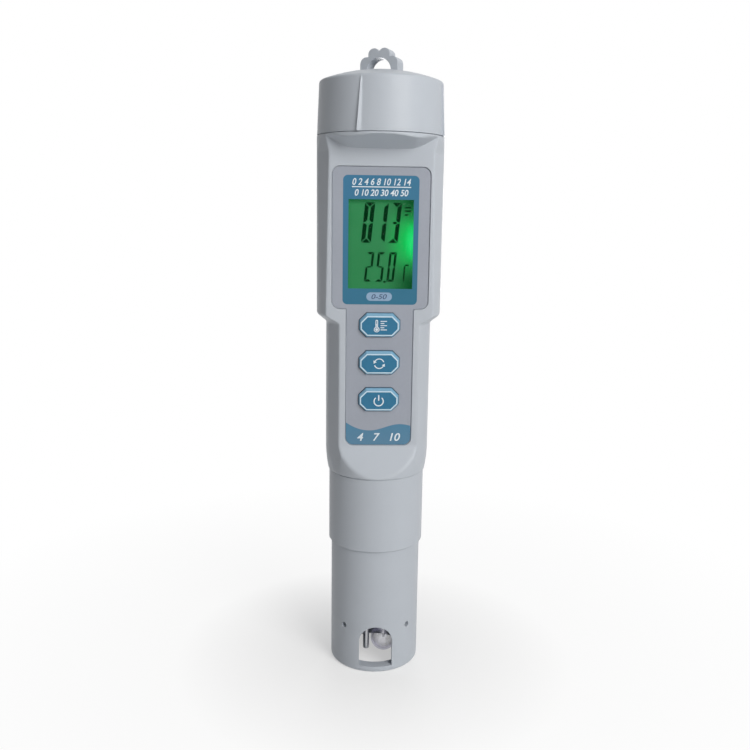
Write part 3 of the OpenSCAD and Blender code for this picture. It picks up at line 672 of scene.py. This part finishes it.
def cap_sheet():
    """Rows and columns of the cap; the columns lean with the slanted walls of the grips."""
    bore = [(0.0, RIVET_TOP), (RIVET_R, RIVET_TOP), (RIVET_R, CAP_ROOF), (CAP_BORE - 0.42, CAP_ROOF),
            (CAP_BORE, CAP_ROOF - 0.4), (CAP_BORE, CAP_LOW + 0.3), (CAP_BORE + 0.23, CAP_LOW)]
    wall = [(CAP_R_LOW - 0.15, CAP_LOW), (CAP_R_LOW - 0.04, CAP_LOW + 0.05),
            (CAP_R_LOW - 0.005, CAP_LOW + 0.15)]
    wall += [(CAP_R_LOW + (CAP_R_TOP - CAP_R_LOW) * k / 14, CAP_LOW + (CAP_TOP - CAP_LOW) * k / 14)
             for k in range(1, 14)]
    dome = [(r, CAP_DOME - CAP_BEND + math.sqrt(CAP_BEND ** 2 - r * r))
            for r in (16.6, 14, 11, 8, 5.5, 3, 1.2, 0.0)]
    edge = rounded([(*wall[-1], 0), (CAP_R_TOP, CAP_TOP, CAP_EDGE), (*dome[0], 0)], 6)[1:-1]
    starts = np.radians(GRIP_TURN + 360 / GRIP_COUNT * np.arange(GRIP_COUNT))
    rows = []
    for profile, gripped in ((bore, 0), (wall + edge, 1), (dome, 0)):
        for r, z in profile:
            turns, rise = grip_columns(z)
            angles = np.concatenate([turns + start for start in starts])
            rows.append(ring_row(angles, r + np.tile(rise, GRIP_COUNT) * gripped, z))
    return np.array(rows)


def loop_reach(turn):
    """How far the loop's outside is from the hole's centre: a round band with two lobes on each side."""
    reach = np.full(turn.shape, LOOP_HOLE + LOOP_BAND)
    for out, lean, r in LOBES:
        hit = r ** 2 - (out * np.sin(turn - lean)) ** 2
        lobe = out * np.cos(turn - lean) + np.sqrt(np.maximum(hit, 0))
        reach = np.where(hit > 0, np.maximum(reach, lobe), reach)
    out, lean, r = LOBES[0]
    foot = out * math.cos(lean) + r
    return np.where(foot * np.tan(turn) < out * math.sin(lean), foot / np.cos(turn), reach)


def lanyard_loop():
    turns = np.radians(np.concatenate([np.arange(0, 89.5, 1.5), np.arange(90, 180.5, 1.5)]))
    reach = loop_reach(np.minimum(turns, math.pi - turns))
    outside = [(r * math.cos(a), LOOP_Z + r * math.sin(a)) for r, a in zip(reach, turns)]
    hole = arc(0, LOOP_Z, LOOP_HOLE, np.linspace(math.pi, 0, 33))
    left_foot = [(-reach[0], LOOP_FOOT), (-LOOP_HOLE, LOOP_FOOT)]
    right_foot = [(LOOP_HOLE, LOOP_FOOT), (reach[0], LOOP_FOOT)]
    loop = slab("loop", outside + left_foot + hole + right_foot, -LOOP_T / 2, LOOP_T / 2)
    soften(loop, 0.22, segments=3, angle=40)
    loop.rotation_euler.z = LOOP_TURN
    only(loop)
    bpy.ops.object.transform_apply(location=True, rotation=True, scale=True)
    return loop


def cap_with_loop():
    cap = rolled("cap_shell", cap_sheet(), closed=False)
    cut(cap, lanyard_loop(), "UNION")
    return joined("cap_shell", [cap, thread("cap_thread", CAP_BORE + 0.3, CAP_BORE - 0.7, CAP_THREAD_Z)])


# Label, window, keys and display

def select_front(piece):
    """In edit mode, selects only the foremost face of a piece."""
    bpy.ops.mesh.select_mode(type="FACE")
    bpy.ops.mesh.select_all(action="DESELECT")
    bpy.ops.object.mode_set(mode="OBJECT")
    front = min(face.center.y for face in piece.data.polygons if face.normal.y < -0.9)
    for face in piece.data.polygons:
        face.select = face.normal.y < -0.9 and face.center.y < front + 1e-5
    bpy.ops.object.mode_set(mode="EDIT")


def label_sheet():
    sheet = slab("label_sheet", label_outline(0), PRINT, POCKET)
    cut(sheet, openings("label_tool", 0, 0.12, PRINT - 1, POCKET + 1))
    return sheet


def lens_plate():
    plate = slab("lens_plate", window(0.8), POCKET, POCKET + WINDOW_T)
    soften(plate, 0.12, segments=2)
    return plate


def key_button(name, z):
    """An eight-sided key: extruded body, sloped rim, flange behind the wall and a boss for the switch."""
    body = slab(name, octagon(z), KEY_FRONT + KEY_SLOPE, INNER + 1.0)
    face_h = KEY_H - 2 * KEY_RIM
    squeeze = (face_h - 2 * KEY_SLACK) / face_h
    edit(body, lambda: select_front(body),
         lambda: bpy.ops.mesh.inset(thickness=KEY_RIM * MM),
         lambda: bpy.ops.transform.resize(value=(1, 1, squeeze), center_override=(0, 0, z * MM)),
         lambda: bpy.ops.transform.translate(value=(0, -KEY_SLOPE * MM, -KEY_SLACK * MM)))
    soften(body, 0.14, segments=2, angle=20)
    cut(body, slab("flange", octagon(z, 1.0), INNER + 0.01, INNER + 1.0), "UNION")
    cut(body, slab("boss", disc(0, z, 2.2, 32), INNER + 0.9, INNER + 1.7), "UNION")
    return body


def disc(cx, cz, r, steps=24):
    return arc(cx, cz, r, np.linspace(0, 2 * math.pi, steps, endpoint=False))


def band(cx, cz, radius, width, start, end, steps=28):
    """Outline of an arc-shaped band, its angles in degrees from the right."""
    sweep = np.radians(np.linspace(start, end, steps))
    return arc(cx, cz, radius + width / 2, sweep) + arc(cx, cz, radius - width / 2, sweep[::-1])


def bar(x0, z0, x1, z1, width):
    """Outline of a straight stroke with pointed ends."""
    along = Vector((x1 - x0, z1 - z0)).normalized() * width / 2
    side = Vector((-along.y, along.x))
    one, two = Vector((x0, z0)), Vector((x1, z1))
    corners = (one, one + along + side, two - along + side, two, two - along - side, one + along - side)
    return [tuple(corner) for corner in corners]


def thermometer_sign(z):
    """Bulb with its filling, the tube's two walls and round top, and a scale of long and short lines."""
    x, bulb, line, tube = -0.9, z - 1.05, 0.24, 0.38
    top = z + 1.5
    strokes = [band(x, bulb, 0.72, line, 118, 422), disc(x, bulb, 0.42),
               box(x - tube, z - 0.5, x - tube + line, top + 0.02),
               box(x + tube - line, z - 0.5, x + tube, top + 0.02),
               band(x, top, tube - line / 2, line, 0, 180),
               box(x - 0.08, z - 1, x + 0.08, z + 0.7)]
    for k, length in enumerate((1.9, 1.1, 1.9, 1.1, 1.9)):
        low = z + 1.3 - 0.64 * k
        strokes.append(box(0.25, low, 0.25 + length, low + line))
    return strokes


def turning_sign(z):
    """Two arcs of a circle, each with an arrow head at its end."""
    radius, head, tip = 1.45, 0.55, 0.85
    strokes = []
    for start in (20, 200):
        end = start + 130
        strokes.append(band(0, z, radius, 0.3, start, end))
        a = math.radians(end)
        out, along = Vector((math.cos(a), math.sin(a))), Vector((-math.sin(a), math.cos(a)))
        mid = Vector((0, z)) + out * radius
        strokes.append([tuple(mid + out * head), tuple(mid + along * tip), tuple(mid - out * head)])
    return strokes


def standby_sign(z):
    return [band(0, z - 0.2, 1.4, 0.34, 130, 410), box(-0.17, z, 0.17, z + 1.75)]


def key_marks():
    """Plain symbols on the keys, by the key's name."""
    signs = {"key_unit": thermometer_sign, "key_mode": turning_sign, "key_power": standby_sign}
    marks = {}
    for name, sign in signs.items():
        strokes = [slab("stroke", outline, KEY_FRONT - 0.02, KEY_FRONT + 0.03)
                   for outline in sign(KEY_ROWS[name] - 0.2)]
        marks[name] = joined(name + "_sign", strokes)
    return marks


# Lit bars of the display's seven-bar digits, from a at the top, round to f, with g in the middle
SEGMENTS = {"0": "abcdef", "1": "bc", "2": "abged", "3": "abgcd", "5": "afgcd"}
LEAN = 0.1


def digit(sign, x, low, w, h, t):
    """Outlines of one seven-bar digit with mitred bars, leaning a little to the right."""
    gap, half = t * 0.14, t / 2
    reach, rise = w / 2 + half, h / 2 + half
    end, thin = reach - half - gap, t * 0.3
    top = [(-reach + gap, rise), (reach - gap, rise), (reach - t - gap, rise - t),
           (-reach + t + gap, rise - t)]
    side = [(reach, rise - gap), (reach, gap), (reach - half, gap), (reach - t, half + gap),
            (reach - t, rise - t - gap)]
    across = [(-end, 0), (thin - end, thin), (end - thin, thin), (end, 0), (end - thin, -thin),
              (thin - end, -thin)]
    shapes = {"a": (top, 1, 1), "b": (side, 1, 1), "c": (side, 1, -1), "d": (top, 1, -1), "e": (side, -1, -1),
              "f": (side, -1, 1), "g": (across, 1, 1)}
    mid_x, mid_z = x + w / 2, low + h / 2
    bars = []
    for name in SEGMENTS[sign]:
        outline, flip_x, flip_z = shapes[name]
        bars.append([(mid_x + px * flip_x + pz * flip_z * LEAN, mid_z + pz * flip_z) for px, pz in outline])
    return bars


def display_digits():
    """A made-up reading: three tall digits, three small ones with a point, and bars for the units."""
    point = disc(1.36, 124.1, 0.38, 12)
    unit_bars = ((6.9, 145.9, 9.0, 145.9), (6.9, 144.9, 9.0, 144.9), (6.9, 143.8, 8.2, 143.8),
                 (7.0, 124.3, 7.3, 128.9), (7.3, 129.1, 8.6, 129.1))
    outlines = [point]
    for sign, x in (("0", -4.63), ("1", -0.63), ("3", 3.27)):
        outlines += digit(sign, x, **TALL_DIGITS)
    for sign, x in (("2", -4.05), ("5", -0.75), ("0", 2.65)):
        outlines += digit(sign, x, **SMALL_DIGITS)
    outlines += [bar(*ends, 0.45) for ends in unit_bars]
    return joined("display_digits", [slab("bar", outline, INNER + 0.06, INNER + 0.1) for outline in outlines])


def printed(text, height, width, x, z, weight=0.014):
    """Plain numbers printed on the label: text made a mesh, then stood up in its place."""
    bpy.ops.object.text_add()
    line = bpy.context.object
    line.data.body = text
    line.data.shear = 0.22
    line.data.offset = weight
    line.data.extrude = 0.02
    only(line)
    bpy.ops.object.convert(target="MESH")
    corners = np.array([v.co[:] for v in line.data.vertices])
    low, high = corners.min(0), corners.max(0)
    across, up, out = ((corners - (low + high) / 2) / (high - low)).T
    set_points(line, np.stack([x + across * width, PRINT - 0.01 - out * 0.03, z + up * height], -1))
    edit(line, lambda: weld(2e-7), outward)
    return line


def label_numbers():
    """White rows with a rule between them, pale numbers at the foot and dark ones on the pill."""
    rule = slab("rule", box(-8.6, 151.55, 8.6, 151.83), PRINT - 0.02, PRINT + 0.02)
    white = [printed("0 2 4 6 8 10 12 14", height=1.95, width=17.0, x=0.05, z=153.15, weight=0.012), rule,
             printed("0 10 20 30 40 50", height=1.85, width=15.6, x=0.05, z=150.05)]
    pale = [printed("4   7   10", height=2.5, width=13.2, x=0.2, z=76.7)]
    dark = [printed("0-50", height=1.5, width=4.6, x=PILL[0], z=PILL[1])]
    return joined("label_numbers", white), joined("panel_numbers", pale), joined("pill_numbers", dark)


# Sensor end

def sensor_guard():
    levels = (1.4, 2.6, 6, 9, 12, 15, 17, 22, 32)
    low, high = levels[0], levels[-1]
    rim = rounded([(GUARD_BORE, low, 0), (GUARD_BORE, 0, 0.5), (GUARD_R, 0, 0.9), (GUARD_R, low, 0)], 5)[1:-1]
    top = rounded([(GUARD_R, high, 0), (GUARD_R, GUARD_TOP, 0.3), (SPIGOT_R, GUARD_TOP, 0),
                   (SPIGOT_R, SPIGOT_TOP, 0.3), (GUARD_BORE, SPIGOT_TOP, 0.2),
                   (GUARD_BORE, high, 0)], 5)[1:-1]
    outside = [(GUARD_R, z) for z in levels]
    inside = [(GUARD_BORE, z) for z in levels[::-1]]
    guard = turned("sensor_guard", rim + outside + top + inside, 144)
    arch = [(-ARCH_HALF_W, ARCH_LOW), (ARCH_HALF_W, ARCH_LOW)]
    arch += arc(0, ARCH_SPRING, ARCH_HALF_W, np.linspace(0, math.pi, 25))
    cut(guard, slab("arch_tool", arch, -20, 0))
    for turn in (45, 135):
        bpy.ops.mesh.primitive_cylinder_add(vertices=24, radius=VENT_R * MM, depth=50 * MM,
                                            location=(0, 0, VENT_Z * MM),
                                            rotation=(math.pi / 2, 0, math.radians(turn)))
        cut(guard, bpy.context.object)
    soften(guard, 0.22, segments=2, angle=50)
    edit(guard, lambda: bpy.ops.mesh.dissolve_degenerate(threshold=1e-6))
    return guard


def sensor_barrel():
    spigot = [(SLEEVE_BORE, SPIGOT_TOP + 0.1, 0), (SPIGOT_R + 0.1, SPIGOT_TOP + 0.1, 0),
              (SPIGOT_R + 0.1, GUARD_TOP, 0.2)]
    wall = [(SLEEVE_R, GUARD_TOP, 0.35), (SLEEVE_R, SEAM_LOW, 0.35), (SLEEVE_PLUG, SEAM_LOW, 0)]
    plug = [(SLEEVE_PLUG, RING_LOW, 0), (RING_R, RING_LOW, 0), (RING_R, RING_TOP, 0),
            (SLEEVE_PLUG, RING_TOP, 0), (SLEEVE_PLUG, SLEEVE_TOP, 0.3), (SLEEVE_BORE, SLEEVE_TOP, 0.2)]
    return turned("sensor_barrel", rounded(spigot + wall + plug, 4), 144)


def glass_bulb():
    outer = arc(0, BULB_Z, BULB_R, np.radians(np.linspace(-90, 40, 24)))
    inner = arc(0, BULB_Z, BULB_R - BULB_WALL, np.radians(np.linspace(44, -90, 24)))
    bore = STEM_R - BULB_WALL
    stem = [(STEM_R + 0.06, STEM_LOW - 0.55), (STEM_R, STEM_LOW), (STEM_R, STEM_TOP - 0.15),
            (STEM_R - 0.1, STEM_TOP), (bore + 0.1, STEM_TOP), (bore, STEM_TOP - 0.15), (bore, STEM_LOW - 0.5)]
    return turned("glass_bulb", outer + stem + inner, 64, BULB_AT)


def contact_pins():
    tip = [(0, PIN_LOW), (PIN_R - 0.4, PIN_LOW), (PIN_R - 0.15, PIN_LOW + 0.08),
           (PIN_R - 0.03, PIN_LOW + 0.25), (PIN_R, PIN_LOW + 0.5)]
    outline = tip + [(PIN_R, RODS_TOP), (0, RODS_TOP)]
    return joined("contact_pins", [turned("contact_pin", outline, 40, at) for at in PIN_PLACES])


def heat_probe():
    tip = arc(0, PROBE_Z, PROBE_R, np.radians(np.linspace(-90, 0, 10)))
    return turned("heat_probe", tip + [(PROBE_R, RODS_TOP), (0, RODS_TOP)], 48, PROBE_AT)


# Studio: camera, lamps, world and floor, in metres

SENSOR_W, LENS, SHIFT = 36, 40.08, -2.4 / 750
CAMERA_TURN, CAMERA_RISE, CAMERA_ROLL = math.radians(-2.6), math.radians(11.1), math.radians(0.8)
CAMERA_AIM, CAMERA_AWAY = Vector((0, 0, 0.0942)), 0.2628
LAMP_AIM = Vector((0, 0, 0.1))
WHITE = (1, 1, 1, 1)


def studio_camera():
    data = bpy.data.cameras.new("studio_camera")
    data.sensor_width = SENSOR_W
    data.lens = LENS
    data.shift_x = SHIFT
    camera = bpy.data.objects.new("studio_camera", data)
    bpy.context.scene.collection.objects.link(camera)
    level = math.cos(CAMERA_RISE)
    away = Vector((math.sin(CAMERA_TURN) * level, -math.cos(CAMERA_TURN) * level, math.sin(CAMERA_RISE)))
    camera.location = CAMERA_AIM + away * CAMERA_AWAY
    facing = (-away).to_track_quat("-Z", "Y").to_matrix() @ Matrix.Rotation(CAMERA_ROLL, 3, "Z")
    camera.rotation_euler = facing.to_euler()
    bpy.context.scene.camera = camera


def soft_lamp(name, place, size, power, colour=WHITE[:3]):
    data = bpy.data.lights.new(name, "AREA")
    data.shape = "DISK"
    data.size = size
    data.energy = power
    data.color = colour
    lamp = bpy.data.objects.new(name, data)
    bpy.context.scene.collection.objects.link(lamp)
    lamp.location = place
    lamp.rotation_euler = (LAMP_AIM - Vector(place)).to_track_quat("-Z", "Y").to_euler()


def seen_directly(net):
    """1 for what the camera sees, also in a gloss or through glass; 0 for the light that falls on things."""
    camera, gloss, glass = [net.node("LightPath", {}, out=ray)
                            for ray in ("Is Camera Ray", "Is Glossy Ray", "Is Transmission Ray")]
    return camera.most(gloss).most(glass)


def studio_world():
    """White to look at, dim as a light."""
    world = bpy.data.worlds.new("studio")
    bpy.context.scene.world = world
    world.use_nodes = True
    world.node_tree.nodes.clear()
    net = Shade(world.node_tree)
    glow = net.node("Background", {"Color": WHITE, "Strength": seen_directly(net) * 0.9 + 0.1})
    net.node("OutputWorld", {"Surface": glow})


def studio_floor():
    """Pale paper that takes the shadow near the tester and fades to white farther out; the glow held back
    near the tester also paints shade round its base.
    """
    bpy.ops.mesh.primitive_plane_add(size=6, location=(0, 0, -0.00002))
    floor = named("studio_floor")
    material = bpy.data.materials.new("studio_floor")
    material.use_nodes = True
    material.node_tree.nodes.clear()
    net = Shade(material.node_tree)
    paper = net.node("BsdfDiffuse", {"Color": (0.88, 0.88, 0.88, 1)})
    white = net.node("Emission", {"Color": WHITE, "Strength": 1.0})
    where = net.node("TexCoord", {}, out="Object")
    away = net.node("VectorMath", {0: where}, out="Value", operation="LENGTH")
    # Less white glow near the tester: painted shade round its base, through which the real shadow also shows
    share = ((away - 0.015) * 20).clamped() * 0.4 + ((away - 0.05) * 8).clamped() * 0.12 + 0.48
    mixed = net.node("MixShader", {0: seen_directly(net) * share, 1: paper, 2: white})
    net.node("OutputMaterial", {"Surface": mixed})
    floor.data.materials.append(material)


# Finishes of the record's material slots

PAINTS = {
    "housing_grey": moulded(srgb(190, 196, 204), srgb(180, 186, 194)),
    "seal_rubber": rubber,
    "inner_white": moulded(srgb(228, 229, 228), srgb(214, 215, 214), 0.5),
    "cell_steel": metal((0.72, 0.72, 0.73, 1), (0.58, 0.58, 0.6, 1), 0.26),
    "contact_brass": metal((0.78, 0.6, 0.3, 1), (0.62, 0.45, 0.2, 1), 0.3),
    "spring_steel": metal((0.66, 0.66, 0.68, 1), (0.5, 0.5, 0.52, 1), 0.28, (1, 1, 1), 900),
    "board_green": moulded(srgb(30, 110, 62), srgb(22, 92, 50), 0.3),
    "chip_black": moulded(srgb(46, 47, 50), srgb(34, 35, 38), 0.5),
    "display_green": lit_display,
    "window_clear": pane,
    "label_print": label_film,
    "key_blue": key_skin,
    "lead_red": moulded(srgb(168, 44, 38), srgb(146, 34, 30), 0.35),
    "sensor_glass": bulb_glass,
    "sensor_wire": metal((0.8, 0.8, 0.78, 1), (0.6, 0.6, 0.6, 1), 0.25),
    "junction_white": moulded(srgb(232, 228, 218), srgb(212, 207, 196), 0.75, 0.3),
    "probe_steel": metal((0.62, 0.63, 0.65, 1), (0.48, 0.49, 0.51, 1), 0.26),
}
FINISHES = {slot: finish(slot, paint) for slot, paint in PAINTS.items()}
white_ink = finish("white_ink", ink(srgb(216, 224, 230), srgb(230, 238, 244)))
dark_ink = finish("dark_ink", ink(srgb(54, 76, 108), srgb(68, 90, 122)))
segment_ink = finish("segment_ink", display_bar)

# Every CAD node takes its slot's finish; the pieces placed below stand for some of these nodes
for part in frame["record"]["subparts"]:
    shape = frame["nodes"][part["node"]].data
    shape.materials.clear()
    shape.materials.append(FINISHES[part["material_slot"]])


def place(piece, body, slot, paint=None, node=None):
    """Gives a finished piece its finish, the body it rides on and the CAD node it stands for."""
    piece.data.materials.clear()
    piece.data.materials.append(paint or FINISHES[slot])
    smooth(piece)
    modify(piece, "WEIGHTED_NORMAL", keep_sharp=True)
    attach(piece, body)
    if node:
        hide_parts(node)


place(housing_shell(), "body", "housing_grey", node="housing")
place(cap_with_loop(), "cap", "housing_grey", node="battery_cap")
place(label_sheet(), "body", "label_print", node="label_panel")
place(lens_plate(), "body", "window_clear", node="window_lens")
place(display_digits(), "body", "display_green", segment_ink)
for numbers, tone in zip(label_numbers(), (white_ink, white_ink, dark_ink)):
    place(numbers, "body", "label_print", tone)
key_bodies = {"key_unit": "unit_key", "key_mode": "mode_key", "key_power": "power_key"}
for key_name, key_z in KEY_ROWS.items():
    place(key_button(key_name + "_button", key_z), key_bodies[key_name], "key_blue", node=key_name)
for key_name, key_sign in key_marks().items():
    place(key_sign, key_bodies[key_name], "key_blue", white_ink)
place(sensor_guard(), "body", "housing_grey", node="electrode_guard")
place(sensor_barrel(), "body", "housing_grey", node="sensor_sleeve")
place(glass_bulb(), "body", "sensor_glass", node="ph_electrode")
place(contact_pins(), "body", "probe_steel", node="ec_pins")
place(heat_probe(), "body", "probe_steel", node="temperature_probe")

studio_camera()
studio_world()
studio_floor()
soft_lamp("key_lamp", (0.36, -0.56, 0.43), size=0.4, power=3.85, colour=(1.0, 0.99, 0.97))
soft_lamp("top_lamp", (0.12, -0.2, 0.75), size=0.5, power=1.0)
soft_lamp("back_lamp", (0.06, 0.74, 0.16), size=0.36, power=2.6)

bpy.context.scene.view_settings.view_transform = "Standard"
